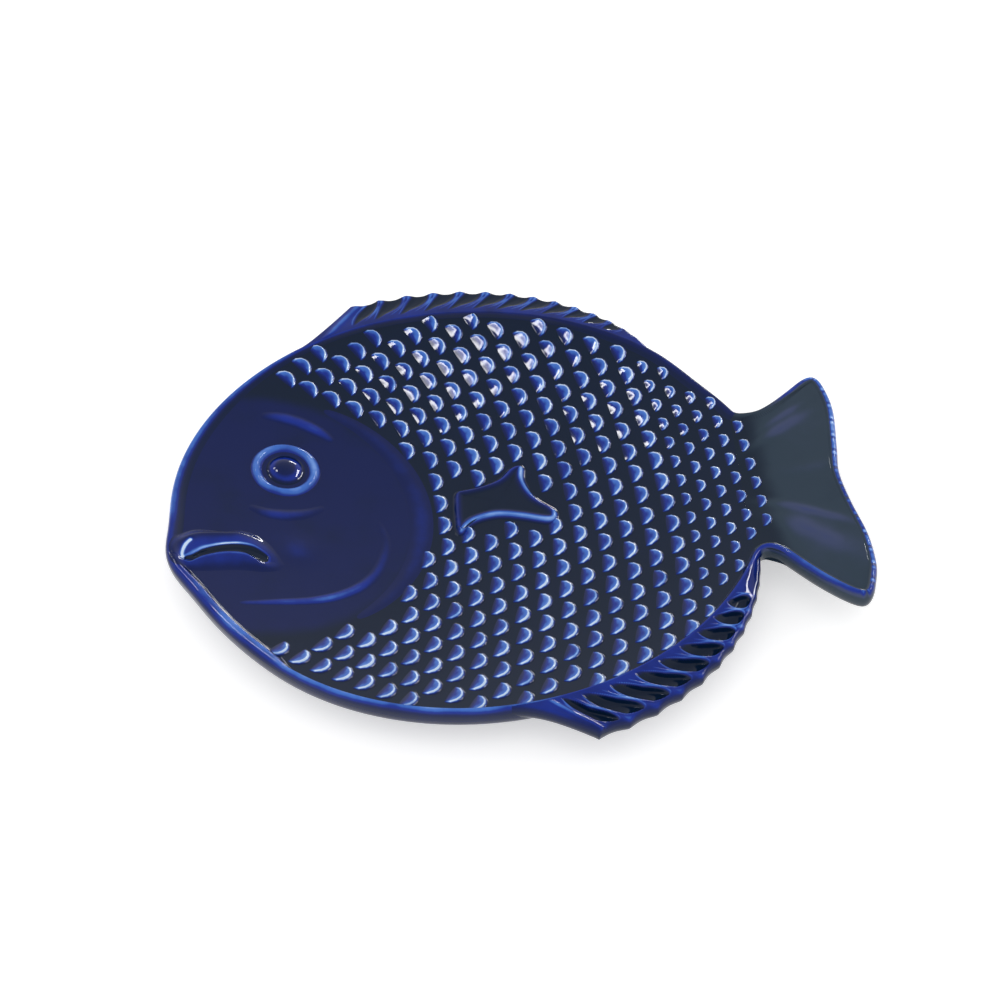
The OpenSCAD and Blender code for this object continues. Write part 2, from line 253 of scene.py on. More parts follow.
# Thinness of the glaze where it pools, on the head and underneath
pool_thin = 0.03
head_thin = 0.14
under_thin = 0.1
# Where the body's edge swells out or is drawn in, at the snout, at the chin and before the tail: the angle,
# its spread and how far out
SWELLS = [(191, 7, 3.5), (217, 15, -1.5), (30, 11, -2.25)]
# The tail's outline, in shares of its length and of half its span
TAIL_SHARES = [
    (-0.33, 0.765), (0.025, 0.72), (0.25, 0.77), (0.5, 0.87), (0.725, 0.97), (0.875, 1), (0.955, 0.92),
    (1, 0.68), (0.915, 0.325), (0.855, 0.095), (0.9, -0.185), (0.985, -0.47), (0.98, -0.715),
    (0.915, -0.865), (0.81, -1), (0.63, -0.97), (0.345, -0.83), (0.12, -0.685), (-0.07, -0.55),
    (-0.23, -0.495), (-0.385, -0.54),
]


def length_of(ways):
    """Lengths of directions, or how far places are from the bowl's axis."""
    return np.linalg.norm(ways, axis=-1)


def bowl_height(flat):
    """Height of the clay's upper face: a ball's inside as far as the tail root, then easing out level."""
    away = length_of(flat)
    inner = np.minimum(away, rear_length)
    ball = bowl_radius - np.sqrt(bowl_radius ** 2 - inner ** 2)
    slope = rear_length / math.sqrt(bowl_radius ** 2 - rear_length ** 2)
    return well_bottom + ball + slope * tail_ease * (1 - np.exp(-(away - inner) / tail_ease))


def lifted(flat, z):
    """Places in plan and their heights as points."""
    return np.concatenate([flat, z[..., None]], -1)


def on_bowl(flat, rise):
    """Places in plan as points at a rise over the clay's upper face."""
    return lifted(flat, bowl_height(flat) + rise)


def unit(ways):
    """Directions brought to a length of one."""
    return ways / length_of(ways)[..., None]


def right_of(ahead):
    """Directions turned a quarter to the right, at a length of one."""
    return unit(np.stack([ahead[..., 1], -ahead[..., 0]], -1))


def loop_right(line):
    """The directions to the right of a closed line's course."""
    return right_of(np.roll(line, -1, axis=0) - np.roll(line, 1, axis=0))


def softened(line, spread):
    """A closed line of even steps with its corners softened by a bell curve, so many steps wide."""
    waves = np.fft.fftfreq(len(line))[:, None]
    return np.fft.ifft(np.fft.fft(line, axis=0) * np.exp(-2 * (np.pi * waves * spread) ** 2), axis=0).real


def hump(value, top, spread):
    """A bell curve."""
    return np.exp(-((value - top) / spread) ** 2)


def ease(share):
    """Zero below 0, one above 1, and a smooth S between."""
    share = np.clip(share, 0, 1)
    return share * share * (3 - 2 * share)


def body_angle(flat):
    """The angle in degrees of a place on the two half ellipses of the body."""
    x, y = flat[..., 0], flat[..., 1]
    return np.degrees(np.arctan2(y / half_depth, x / np.where(x < 0, nose_length, rear_length))) % 360


def body_edge(angle, height=0.0):
    """The body's edge at an angle in degrees: two half ellipses, swollen at the snout and drawn in at the
    chin and before the tail, then moved out by a height along the ellipse's normal."""
    angle, height = np.broadcast_arrays(np.asarray(angle, float), height)
    along, across = np.cos(np.radians(angle)), np.sin(np.radians(angle))
    reach = np.where(along < 0, nose_length, rear_length)
    swell = sum(out * hump(angle, middle, spread) for middle, spread, out in SWELLS)
    edge = np.stack([(reach + swell) * along, (half_depth + swell) * across], -1)
    return edge + height[..., None] * unit(np.stack([half_depth * along, reach * across], -1))


def smooth_line(points, count):
    """A curve through points by cubic blends of each four neighbours, the ends held."""
    points = np.asarray(points, float)
    last = len(points) - 1
    place = np.linspace(0, last, count)
    i = np.minimum(place.astype(int), last - 1)
    t = (place - i)[:, None]
    a, b, c, d = points[np.maximum(i - 1, 0)], points[i], points[i + 1], points[np.minimum(i + 2, last)]
    return (2 * b + (c - a) * t + (2 * a - 5 * b + 4 * c - d) * t ** 2 + (3 * b - a - 3 * c + d) * t ** 3) / 2


def fish_outline(count=1100):
    """The closed outline of the body and the tail, in even steps, with its corners softened, and a little
    fuller to make up for its rounded edge. Gives its points, its outward normals and the number of steps
    on the body."""
    body = body_edge(np.linspace(*notch_angles, 900))
    shares = np.array(TAIL_SHARES)
    tail_points = shares * [tail_length, tail_span / 2] + [rear_length, tail_middle]
    tail = smooth_line(tail_points, 500)[::-1]
    tail = tail[((tail / [rear_length, half_depth]) ** 2).sum(1) > 1]
    loop = np.concatenate([body, tail, body[:1]])
    steps = length_of(np.diff(loop, axis=0))
    run = np.concatenate([[0], np.cumsum(steps)])
    even = np.linspace(0, run[-1], count, endpoint=False)
    line = np.stack([np.interp(even, run, loop[:, 0]), np.interp(even, run, loop[:, 1])], 1)
    line = softened(line, notch_round * count / run[-1])
    normal = loop_right(line)
    return line + edge_swell * normal, normal, int(round(count * run[len(body) - 1] / run[-1]))


def root_soft(angle):
    """How far the raised edge is drawn out along the back, towards the tail's upper root."""
    return root_share * ease((root_angle - angle) / root_span)


def stretch(angle, start, start_span, stop, stop_span):
    """One along a stretch of the rim and zero elsewhere, changing smoothly over a span at each end."""
    return ease((angle - start) / start_span) * (1 - ease((angle - stop) / stop_span))


def rim_width(angle):
    """Width of the raised edge: wide round the head as far as a small step under the chin, then narrow, and
    drawn out softly before the tail's upper root."""
    wide = stretch(angle, *HEAD_RIM) + root_soft(angle)
    return rim_side_width + (rim_nose_width - rim_side_width) * wide


outline, outward, body_steps = fish_outline()
rim_path, rim_out = outline[:body_steps + 1], outward[:body_steps + 1]
rim_angle = body_angle(rim_path)
tail_path = np.concatenate([outline[body_steps:], outline[:1]])
tail_out = np.concatenate([outward[body_steps:], outward[:1]])
well_edge = rim_path - rim_width(rim_angle)[:, None] * rim_out


def well_rings(rows=56, under_rows=14, root_steps=60):
    """The well's border scaled towards the bowl's axis ring by ring, over the upper face and back under it,
    with a soft swelling of the cheek behind the mouth."""
    root = well_edge[-1] + (well_edge[0] - well_edge[-1]) * np.linspace(0, 1, root_steps)[1:-1, None]
    border = np.concatenate([well_edge, root])
    share = np.concatenate([np.linspace(0.02, 1, under_rows), np.linspace(1, 0.01, rows)])[:, None, None]
    flat = share * border[None]
    drop = np.where(np.arange(len(share)) < under_rows, clay_wall, 0.0)[:, None]
    from_head = length_of(flat - head_middle)
    on_head = 1 - ease((from_head - head_radius + head_inset) / head_fade)
    cheek = hump(length_of(flat - cheek_middle), 0, cheek_spread)
    thin = pool_thin + (head_thin - pool_thin) * on_head + cheek_pale * cheek
    rings = on_bowl(flat, np.where(drop > 0, -drop, cheek_height * cheek))
    return rings[None], np.where(drop > 0, head_thin, thin)[None]


add_piece("well", *well_rings(), tips=[[0, 0, well_bottom]], tip_values=pool_thin)

# Rim.
# The raised edge that finishes the body, rolled over in the mould and sponged round. The glaze runs
# thin and bright on its crest, and gathers in the crease where it meets the well.
rim_height = 1.6
rim_crest = 1.8
chin_crest = 3.7
CHIN_ROLL = (188, 14, 221, 9)
rim_outer_drop = 3.4
rim_under_round = 2.2
rim_under_drop = 1.8
rim_fade = 14.0
notch_roll = 1.0
forehead_fall = 0.72
FOREHEAD = (146, 30)
crease_thin = 0.07
# Thinness of the glaze at angles round the body, along the rim's crest and on its outer wall
CREST_THIN = [
    (0, 0.2), (60, 0.2), (105, 0.34), (130, 0.46), (165, 0.5), (180, 0.42), (190, 0.3), (204, 0.5),
    (216, 0.64), (266, 0.66), (277, 0.5), (283, 0.36), (325, 0.36), (334, 0.46), (360, 0.46),
]
WALL_THIN = [(0, 0.26), (95, 0.26), (125, 0.5), (150, 0.72), (178, 0.72), (187, 0.2), (215, 0.1), (360, 0.1)]


def rim_rise(angle):
    """Height of the crest over the well, lower on the forehead and before the tail's upper root."""
    return rim_height * (1 - forehead_fall * hump(angle, *FOREHEAD) - root_soft(angle))


def crest_inset(angle):
    """How far the crest stands in from the edge: a little, and more where the rim is rolled over below
    the mouth."""
    return rim_crest + (chin_crest - rim_crest) * stretch(angle, *CHIN_ROLL)


def rim_section(width, crest, height, crest_thin, wall_thin, inner=14, outer=12, under=10):
    """The rim's section as inset from the edge and height over the well: an S from the crease up to the
    crest, a quarter round down to the edge, and a quarter round in to the underside."""
    s = np.linspace(0, 1, inner)[:, None]
    q = np.radians(np.linspace(0, 90, outer))[1:, None]
    b = np.radians(np.linspace(0, 90, under))[1:, None]
    still = 0 * width
    inset = np.concatenate([
        width + (crest - width) * s,
        crest * (1 - np.sin(q)),
        rim_under_round * (1 - np.cos(b)) + still,
        width[None],
    ])
    rise = np.concatenate([
        height * ease(s) + still,
        height - rim_outer_drop * (1 - np.cos(q)) + still,
        height - rim_outer_drop - (clay_wall + rim_under_drop + height - rim_outer_drop) * np.sin(b),
        still[None] - clay_wall,
    ])
    slope = crease_thin + (crest_thin - crease_thin) * ease(s * 1.6 - 0.6)
    roll = wall_thin + (crest_thin - wall_thin) * np.cos(q) ** 1.5
    below = under_thin + (wall_thin - under_thin) * np.cos(b) ** 2
    thin = np.concatenate([slope + still, roll + still, below + still, still[None] + under_thin])
    return inset, rise, thin


rim_run = np.arange(len(rim_path)) * length_of(rim_path[1] - rim_path[0])
rim_tall = rim_rise(rim_angle) * ease(rim_run / rim_fade)
rim_tall += (notch_roll - rim_tall) * (1 - ease((rim_run[-1] - rim_run) / rim_fade))


def rim_rings():
    """The rim's section carried along the body's outline, its crest fading where the tail root opens it."""
    crest_thin, wall_thin = (np.interp(rim_angle, *zip(*table)) for table in (CREST_THIN, WALL_THIN))
    width, crest = rim_width(rim_angle), crest_inset(rim_angle)
    inset, rise, thin = rim_section(width, crest, rim_tall, crest_thin, wall_thin)
    rings = on_bowl(rim_path - inset[..., None] * rim_out, rise)
    return rings.transpose(1, 0, 2)[None], thin.T[None]


add_piece("rim", *rim_rings())

# Tail fin.
# The forked tail runs on from the well, a plain slab with a roll of clay along its lower edge. A broad
# fold and a few faint rays are drawn in it, and its outer edge is nicked by a modelling tool. Its face is
# painted a paler grey slate towards its end, a painted reflection.
# A grey slate painted on the tail's face as a painted reflection, and the bluer glaze of its streaks
SLATE_SHEEN = (0.0220, 0.0400, 0.0640)
STREAK = (0.0400, 0.0560, 0.1250)
TAIL_STEPS = [(0, POOLED), (0.09, SLATE_SHEEN), (0.2, STREAK), *THIN_STEPS]
# Each ray: where it starts and ends, its spread, its height and how much paler it is painted, partly
# thinner glaze and partly a painted sheen
TAIL_RAYS = [
    ((113, 12), (134, 24), 2.2, 0.2, 0.1), ((118, 20), (134, 30), 1.3, 0.12, 0.08),
    ((112, -18), (142, -33), 2.0, 0.2, 0.12), ((113, -25), (138, -46), 4.0, 0.35, 0.1),
    ((120, -4), (142, -2), 3.0, 0.1, 0.03),
]
lower_edge = 40.0
lower_fade = 14.0
upper_fade = 22.0
nick_gap = 2.3
nick_beat = 5.3
outer_share = 0.62
outer_fade = 6.0
upper_half = 30.0
face_lap = 5.0
face_fade = 12.0
# Thinness of the glaze on the tail's roll, wall and face, and how much thinner it is in places; the face's
# paler slate towards its end is a painted reflection
tail_roll_thin = 0.2
lower_pale = 0.26
outer_pale = 0.02
tip_pale = 0.22
nick_pale = 0.3
tail_wall_thin = 0.08
tip_wall_pale = 0.3
upper_dim = 0.4
tail_face_thin = 0.01
face_sheen = 0.085


def ray_relief(flat):
    """Height of soft ridges along straight lines and how much paler they are painted, partly thinner glaze
    and partly a painted sheen, each a bell curve across and along.
    """
    x, y = flat[..., 0], flat[..., 1]
    relief, thin = 0 * x, 0 * x
    for (x0, y0), (x1, y1), spread, height, pale in TAIL_RAYS:
        length = math.hypot(x1 - x0, y1 - y0)
        along = ((x - x0) * (x1 - x0) + (y - y0) * (y1 - y0)) / length
        across = ((y - y0) * (x1 - x0) - (x - x0) * (y1 - y0)) / length
        bell = hump(across, 0, spread) * hump(along, length / 2, length / 2)
        relief, thin = relief + height * bell, thin + pale * bell
    return relief, thin


def tail_rings(rows=30):
    """Lines ruled from the tail root to just inside the outline, then the rim's section over the edge, and
    back along the underside."""
    steps = len(tail_path)
    low, high = well_edge[-1], well_edge[0]
    root = low + (high - low) * ease(np.linspace(0, 1, steps))[:, None]
    still = np.zeros(steps)
    width = rim_side_width + (rim_width(notch_angles[0]) - rim_side_width) * np.linspace(0, 1, steps) ** 4
    start = tail_path - width[:, None] * tail_out
    r = (1 - (1 - np.linspace(0, 1, rows)) ** 2)[:-1, None, None]
    ruled = root + (start - root) * r
    run = np.arange(steps) * length_of(tail_path[1] - tail_path[0])
    height = notch_roll * (1 - ease((run - lower_edge) / lower_fade))
    outer = ease((tail_path[:, 0] - rear_length - outer_share * tail_length) / outer_fade)
    upper = ease((tail_path[:, 1] + upper_half) / (2 * upper_half))
    nick = np.sin(2 * np.pi * run / nick_gap) * np.sin(2 * np.pi * run / (nick_beat * nick_gap)) ** 2
    from_upper = ease((run[-1] - run) / upper_fade)
    crest_thin = tail_roll_thin + lower_pale * from_upper
    crest_thin += outer * (outer_pale + tip_pale * upper + nick_pale * nick)
    wall_thin = tail_wall_thin + tip_wall_pale * outer * upper
    inset, rise, edge_thin = rim_section(width, rim_crest + still, height, crest_thin, wall_thin)
    edge_thin *= upper_dim + (1 - upper_dim) * from_upper
    back = ruled[::-5]
    flat = np.concatenate([ruled, tail_path - inset[..., None] * tail_out, back])
    relief, pale = ray_relief(flat)
    lift = np.concatenate([np.zeros(ruled.shape[:2]), rise, np.full(back.shape[:2], -clay_wall)])
    on_face = (np.arange(len(flat)) < rows - 1)[:, None]
    rings = on_bowl(flat, lift + np.where(on_face, relief, 0))
    # The face turns a paler grey slate towards its end, a painted reflection.
    face = tail_face_thin + face_sheen * ease((ruled[..., 0] - rear_length + face_lap) / face_fade)
    thin = np.concatenate([face, edge_thin, np.full(back.shape[:2], under_thin)]) + np.where(on_face, pale, 0)
    return rings.transpose(1, 0, 2)[None], thin.T[None]


add_piece("tail_fin", *tail_rings(), finish=cobalt_glaze("tail_glaze", TAIL_STEPS))

# Dorsal fin and its rays.
# A scalloped fin that rises from the rim along the back. Its hollows are scooped out between slanting
# ribs, and the glaze pools in them and runs thin on the ribs.
fin_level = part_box("dorsal_fin")[1].z / MM
fin_thickness = 6.0
rib_crowd = 0.29
rib_top = 0.5
fin_edge = 1.5
fin_drop = 2.6
fin_under_round = 2.4
fin_front_round = 1.6
fin_fall = 10.0
roll_height = 0.4
ray_ends = (0.06, 0.95)
ray_sink = 0.2
ray_depth = 0.6
ray_lap = 0.04
short_fin = 3.0
full_fin = 8.0
fin_steps = 420
scallop_power = 1.2
leaf_power = 0.8
floor_power = 4
# Bell curves by their place and spread: the front roll in its own widths, the pale brink in half widths of
# the hollow and the knob at a rib's tip in half rooms between two ribs
ROLL_BELL = (0.45, 0.4)
BRINK_BELL = (1.06, 0.12)
KNOB_BELL = (1, 0.3)
knob_out = 0.8
# Shares of the full depth at which a hollow has its pale brink and its pooled floor
brink_depth = 0.3
pool_depth = 0.35
# Thinness of the glaze on the fins' face, and how much thinner it is on each form of it
fin_thin = 0.29
brink_pale = 0.24
knob_pale = 0.2
roll_pale = 0.26
ray_pale = 0.2
# angles are where the line of the front edge meets the rim, the first tip and the end, and flow is where
# the edge leaves the rim; fall bends the outline, and lean and sweep slant the ribs; leaf is where a hollow
# starts, is widest and stops on the way out, and floor is where its floor turns up and meets the face;
# width and wall are shares of the room between two ribs and of the hollow's half width; roll is the width of
# the front edge's roll, ray the height of a rib's bead, and end_drop rounds the end
DORSAL = dict(angles=(116.5, 107, 45), flow=121, height=12.5, fall=4, lean=6.5, sweep=1.7, count=14, rays=13,
              scallop=0.11, leaf=(0.1, 0.75, 1.5), floor=(0.6, 1.5), width=0.8, wall=0.7, depth=0.3, roll=3.2,
              ray=0.12, wall_thin=0.14, end_drop=0)


def rib_number(share, count):
    """Which rib stands at a share of the fin's length; they crowd together towards the tail."""
    return count * ((1 + rib_crowd) - np.sqrt((1 + rib_crowd) ** 2 - 4 * rib_crowd * share)) / (2 * rib_crowd)


def rib_share(number, count):
    """The share of the fin's length at which a rib stands, the other way round."""
    return number / count * (1 + rib_crowd * (1 - number / count))


def fin_frame(fin):
    """Shares of the fin's length with the rim's crest, the edge of the fin's face, its outline and the
    outline's normal there. The fin flows out of the rim in a hollow curve to its first tip and falls away to
    its end, with its edge drawn in between the ribs; the normal is smoothed along it by a bell curve."""
    front, first, last = fin["angles"]
    share = np.linspace((fin["flow"] - first) / (last - first), 1, fin_steps)
    angle = first + (last - first) * share
    climb = np.maximum(1 - np.minimum(share, 0) * (last - first) / (fin["flow"] - first), 0)
    rise = climb ** ((fin["flow"] - first) / (front - first))
    full = np.where(share < 0, rise, 1 - np.clip(share, 0, 1) ** fin["fall"])
    smooth = body_edge(angle, fin["height"] * full)
    rib = rib_number(np.maximum(share, 0), fin["count"])
    scallop = np.where(share > 0, np.abs(np.sin(np.pi * rib)) ** scallop_power, 0)
    tall = fin["height"] * full * (1 - fin["scallop"] * scallop) + edge_swell
    reach = int(3 * fin_front_round / np.median(length_of(np.diff(smooth, axis=0))))
    weight = np.exp(-(np.arange(-reach, reach + 1) * 3 / reach) ** 2 / 2)
    padded = np.pad(unit(np.gradient(smooth, axis=0)), ((reach, reach), (0, 0)), "edge")
    ahead = np.stack([np.convolve(padded[:, i], weight, "valid") for i in (0, 1)], 1)
    normal = right_of(ahead if last > first else -ahead)
    edge = body_edge(angle, tall)
    return share, body_edge(angle, edge_swell - rim_crest), edge - fin_edge * normal, edge, normal


def crest_height(fin, share, foot):
    """Height of the rim's crest at the fin's foot."""
    first, last = fin["angles"][1:]
    tall = np.interp(first + (last - first) * share, rim_angle, rim_tall)
    return bowl_height(foot) + tall


def rib_lean(fin, tip, out):
    """How far along the fin a rib stands from its tip on the way out from the rim: the lean at its foot, less
    for a lower rib, easing to nothing at the tip."""
    first, last = fin["angles"][1:]
    return fin["lean"] / (last - first) * (1 - np.clip(tip, 0, 1) ** fin["fall"]) * (1 - out) ** fin["sweep"]


def fin_face(fin, share, out, crest_z, length):
    """Height and glaze of the fin's face at a share of its length and a way out from the rim's crest, 0, to
    the edge, 1. The face falls from the crest to the ribs' level, and a leaf is scooped out between ribs."""
    front, first, last = fin["angles"]
    fall = ease(out * length / fin_fall)
    tip = share
    for _ in range(3):
        tip = share - rib_lean(fin, tip, out)
    rib = rib_number(np.clip(tip, -0.3, 1.2), fin["count"])
    run, slant = (math.radians(abs(turn)) * rear_length for turn in (last - first, front - first))
    behind = ((share * run + slant) * fin["height"] - out * length * slant) / math.hypot(slant, fin["height"])
    second = rib_share(1, fin["count"])
    ahead = np.maximum(run * (second + rib_lean(fin, second, out) - share), 1e-3)
    room = np.maximum(behind - fin["roll"], 0)
    across = np.where(rib < 1, room / (room + ahead), rib - np.floor(rib))
    side = np.abs(across - 0.5) * 2
    start, widest, stop = fin["leaf"]
    opened = np.sin(np.pi / 2 * np.clip((out - start) / (widest - start), 0, 1)) ** leaf_power
    closed = np.sqrt(1 - np.clip((out - widest) / (stop - widest), 0, 1) ** 2)
    wide = np.maximum(fin["width"] * opened * closed, 1e-3)
    among = (across > 0) & (rib < fin["rays"] - 1)
    inside = np.clip((1 - side / wide) / fin["wall"], 0, 1) * among
    low = ease((length - short_fin) / (full_fin - short_fin))
    turn_up, meet = fin["floor"]
    floor_rise = np.clip((out - turn_up) / (meet - turn_up), 0, 1) ** floor_power
    deep = fin["depth"] * ease((out - start) / (widest - start) * 1.6) * (1 - floor_rise) * low
    hollow = deep * ease(inside)
    front_roll = hump(behind / fin["roll"], *ROLL_BELL) * (rib < 1) * ease(out * 3)
    end_round = fin["end_drop"] * (1 - low) * out ** 2 * (share > 0.5)
    z = crest_z * (1 - fall) + (fin_level + rib_top) * fall - hollow + roll_height * front_roll - end_round
    brink = hump(side / wide, *BRINK_BELL) * ease(deep / (brink_depth * fin["depth"])) * among
    knob = hump(side, *KNOB_BELL) * ease((out - knob_out) / (1 - knob_out)) * among * low
    pooled = (fin_thin - pool_thin) * ease(hollow / (pool_depth * fin["depth"]))
    return z, fin_thin - pooled + brink_pale * brink + knob_pale * knob + roll_pale * front_roll


def fin_rings(fin, rows=40, rounds=8):
    """Sections across the fin from the rim's crest to its outline, two quarter rounds over its edge, and
    back below."""
    share, base, brink, edge, normal = fin_frame(fin)
    length = length_of(brink - base)
    out = np.linspace(0, 1, rows)[:, None]
    z, thin = fin_face(fin, share[None], out, crest_height(fin, share, base)[None], length[None])
    flat = base + (brink - base) * out[..., None]
    q = np.radians(np.linspace(0, 90, rounds))[1:, None]
    bottom = fin_level - fin_thickness
    turned = z[-1] - fin_drop * (1 - np.cos(q))
    tucked = z[-1] - fin_drop + (bottom - z[-1] + fin_drop) * np.sin(q)
    over = edge - (fin_edge * (1 - np.sin(q)))[..., None] * normal
    under = edge - (fin_under_round * (1 - np.cos(q)))[..., None] * normal
    back = under[-1] + (base - under[-1]) * np.linspace(0, 1, 5)[1:, None, None]
    level = np.concatenate([z, turned, tucked, np.full(back.shape[:2], bottom)])
    rings = lifted(np.concatenate([flat, over, under, back]), level)
    roll = fin["wall_thin"] + (thin[-1] - fin["wall_thin"]) * np.cos(q) ** 2
    below = under_thin + (fin["wall_thin"] - under_thin) * np.cos(q) ** 2 + 0 * length
    thin = np.concatenate([thin, roll, below, np.full(back.shape[:2], under_thin)])
    return rings.transpose(1, 0, 2)[None], thin.T[None]


def closed_below(flat, face, bell, height, sink, depth, thin):
    """Strips raised over a face by a bell curve across them, with edges a little sunk, and closed by the same
    strips at a depth below it, where the glaze is thick."""
    top = lifted(flat, face + (height + sink) * bell - sink)
    below = lifted(flat, face - depth)[..., ::-1, :]
    thin = np.broadcast_to(thin, face.shape)
    return np.concatenate([top, below], -2), np.concatenate([thin, 0 * thin], -1)


def ray_rings(fin, steps=18, rows=7):
    """Beads along the ribs: narrow patches of the fin's face, raised by a bell curve and closed below."""
    grid, base, brink = fin_frame(fin)[:3]
    number = np.arange(1, fin["rays"])[:, None, None]
    out = np.linspace(*ray_ends, steps)[None, :, None]
    side = np.linspace(-1, 1, rows)[None, None, :]
    stands = rib_share(number + (0.5 + ray_lap - fin["width"] / 2) * side, fin["count"])
    share = stands + rib_lean(fin, stands, out)

    def along(values):
        """Places on a line of the fin's frame at the beads' shares."""
        return np.stack([np.interp(share, grid, values[:, i]) for i in (0, 1)], -1)

    foot, tip = along(base), along(brink)
    flat = foot + (tip - foot) * out[..., None]
    length = length_of(tip - foot)
    z, thin = fin_face(fin, share, out, crest_height(fin, share, foot), length)
    run = (out - ray_ends[0]) / (ray_ends[1] - ray_ends[0])
    bell = (1 - side ** 2) ** 2 * np.sin(np.pi * run) ** 0.6
    return closed_below(flat, z, bell, fin["ray"], ray_sink, ray_depth, thin + ray_pale * bell)


add_piece("dorsal_fin", *fin_rings(DORSAL))
add_piece("dorsal_rays", *ray_rings(DORSAL))

# Anal fin and its rays.
# The pointed fin under the belly, made as the dorsal fin is, with leaf-shaped hollows that stop short
# of its edge.
ANAL = dict(angles=(279, 285.5, 336), flow=273, height=17.0, fall=2, lean=-8.5, sweep=1.1, count=12, rays=10,
            scallop=0.06, leaf=(0.04, 0.64, 1.0), floor=(0.42, 1.0), width=0.9, wall=0.4, depth=2.4, roll=1.8,
            ray=0.2, wall_thin=0.08, end_drop=1.5)
add_piece("anal_fin", *fin_rings(ANAL))
add_piece("anal_rays", *ray_rings(ANAL))

# Pectoral fin.
# A flat four-cornered pad laid on the well, its edge pinched up into a bead. The glaze is thin on the
# bead and pools on the flat; the bead is painted paler along its lower and rear edges as a painted highlight.
pectoral_length = 38.0
pectoral_round = 3.0
pectoral_middle = np.array([0.127 * nose_length, 0.09 * half_depth])
flat_middle = pectoral_middle + [0, -3]
bead_thin_and_highlight = (0.3, 0.72)
highlight_way = np.array([-0.5, 0.87])
PECTORAL_SHARES = [
    (-0.43, 0.1), (-0.2, 0.13), (0.03, 0.21), (0.17, 0.35), (0.28, 0.35), (0.265, 0.17), (0.36, -0.09),
    (0.54, -0.29), (0.48, -0.42), (0.2, -0.32), (-0.06, -0.26), (-0.3, -0.32), (-0.45, -0.44),
]
# Each step in from the pad's edge: inset, height over the well, share of the bead's brightness
PECTORAL_STEPS = [
    (-1.6, -0.08, 0.0), (-0.9, 0.1, 0.05), (-0.35, 0.6, 0.35), (0.1, 1.35, 0.85), (0.6, 1.85, 1.0),
    (1.2, 1.95, 0.75), (2.0, 1.75, 0.25), (2.8, 1.55, 0.05),
]


def pectoral_rings(around=220, inner_rows=8):
    """The pad's outline set in step by step along its normals, then scaled to its middle, at each step's
    height. The bead is painted brightest where its inner side faces up and towards the head, along its
    lower and rear edges, a painted highlight over its thin glaze."""
    shares = np.array(PECTORAL_SHARES + PECTORAL_SHARES[:1])
    line = softened(smooth_line(pectoral_middle + shares * pectoral_length, around + 1)[:-1], pectoral_round)
    inward = loop_right(line)
    inset, rise, bead = np.array(PECTORAL_STEPS).T[..., None]
    edge = line + inset[..., None] * inward
    share = np.linspace(1, 0.06, inner_rows)[1:, None, None]
    flat = np.concatenate([edge, flat_middle + (edge[-1] - flat_middle) * share])
    rise = np.concatenate([rise, np.repeat(rise[-1:], inner_rows - 1, 0)])
    bead = np.concatenate([bead, np.zeros((inner_rows - 1, 1))])
    dim, bright = bead_thin_and_highlight
    # The bead is painted paler where it faces the lower and rear sides, a painted highlight.
    bright = dim + (bright - dim) * ease(0.5 + 0.9 * (inward @ highlight_way))
    return on_bowl(flat, rise)[None], (bead * bright + pool_thin)[None], on_bowl(flat_middle[None], rise[-1])


add_piece("pectoral_fin", *pectoral_rings(), tip_values=pool_thin)

# Eye.
# A round bead laid on the head with a domed pupil inside it. The bead is the brightest blue of the
# head, and the pupil shows blue only round its shoulder.
eye_middle = np.array([-0.605 * nose_length, 0.266 * half_depth])
bead_radius = 11.1
bead_half = 2.3
bead_height = 1.6
bead_sink = 0.06
bead_depth = 0.5
bead_foot_thin = 0.06
bead_pale = 0.58
pupil_radius = 6.3
pupil_top = 2.4
# Each step in from the pupil's foot: share of its radius, height, thinness of the glaze
PUPIL_STEPS = [
    (1.25, -0.08, 0.05), (1.1, 0.08, 0.06), (1.0, 0.4, 0.14), (0.92, 0.78, 0.3), (0.82, 1.16, 0.36),
    (0.68, 1.58, 0.26), (0.52, 1.98, 0.14), (0.36, 2.24, 0.11), (0.18, 2.36, 0.1),
]


def bead_rings(around=96, rows=15):
    """A bell curve across the bead, carried round the eye and closed below the well."""
    ways = compass(np.linspace(0, 360, around, endpoint=False))[None, :, None]
    side = np.linspace(-1, 1, rows)
    bell = (1 - side ** 2) ** 1.5
    flat = eye_middle + (bead_radius + bead_half * side)[:, None] * ways
    thin = bead_foot_thin + bead_pale * bell ** 0.45
    return closed_below(flat, bowl_height(flat), bell, bead_height, bead_sink, bead_depth, thin)


def pupil_rings(around=64):
    """Circles about the eye's middle, at each step's share of the radius and height, and the dome's top."""
    ways = compass(np.linspace(0, 360, around, endpoint=False))
    share, rise, thin = np.array(PUPIL_STEPS).T[..., None]
    rings = on_bowl(eye_middle + pupil_radius * share[..., None] * ways, rise)
    return rings[None], thin[None], on_bowl(eye_middle[None], pupil_top), thin[-1]


add_piece("eye_ring", *bead_rings(), joined=True)
add_piece("pupil", *pupil_rings())

